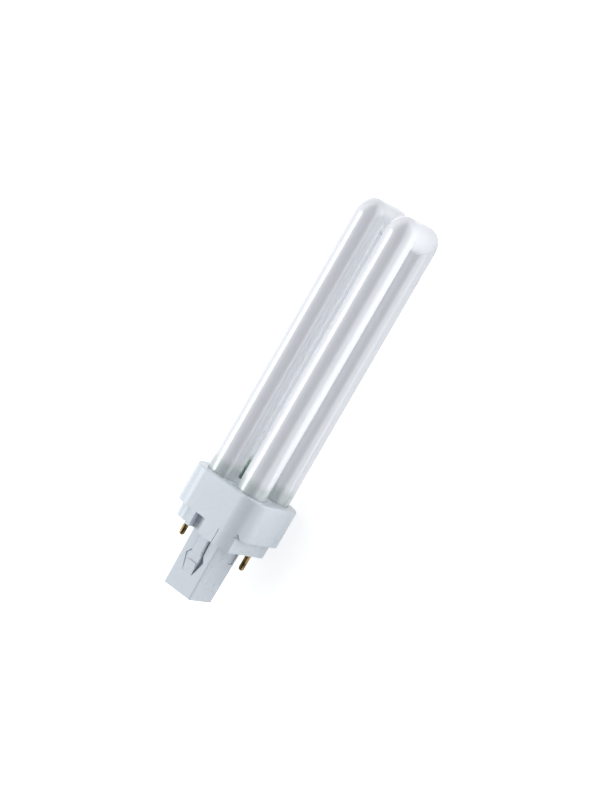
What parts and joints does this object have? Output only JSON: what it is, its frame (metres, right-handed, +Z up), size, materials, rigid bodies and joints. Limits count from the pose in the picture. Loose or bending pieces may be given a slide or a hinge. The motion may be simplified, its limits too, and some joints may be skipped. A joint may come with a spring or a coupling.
{
  "type": "compact fluorescent lamp",
  "caption": "Plug-in fluorescent lamp with two squared U tubes in a square collar, a keyed flange, a starter post and two contact pins, lying on its side.",
  "frame": {"origin": "middle of the bounding box on the surface that the lamp lies on", "axes": "+X towards the tops of the tubes, along the lamp apart from the 1.4 degrees that it tips when it lies on its collar and tube tops; -X end has the post and pins; +Y from the right pin to the left pin; +Z up"},
  "size_m": [0.1533, 0.0322, 0.0334],
  "materials": {
    "coated_glass": "gloss, white phosphor coating behind clear glass",
    "clear_glass": "clear",
    "white_plastic": "satin white moulding",
    "pin_brass": "satin",
    "wire_metal": "satin",
    "coil_metal": "matt",
    "bimetal": "satin",
    "cement": "matt",
    "capacitor_coat": "gloss"
  },
  "bodies": {
    "root": {"discharge_tube": "coated_glass", "collar": "white_plastic", "cement_bed": "cement", "cap_body": "white_plastic", "contact_pin_right": "pin_brass", "contact_pin_left": "pin_brass", "cathode_coil_right": "coil_metal", "cathode_coil_back": "coil_metal", "glass_bead_right": "clear_glass", "glass_bead_back": "clear_glass", "lead_right_pin": "wire_metal", "lead_back_pin": "wire_metal", "lead_right_starter": "wire_metal", "lead_back_starter": "wire_metal", "glow_bottle": "clear_glass", "starter_wire": "wire_metal", "bimetal_wire": "wire_metal", "bimetal_strip": "bimetal", "capacitor": "capacitor_coat", "capacitor_wire_right": "wire_metal", "capacitor_wire_left": "wire_metal"}
  },
  "joints": []
}
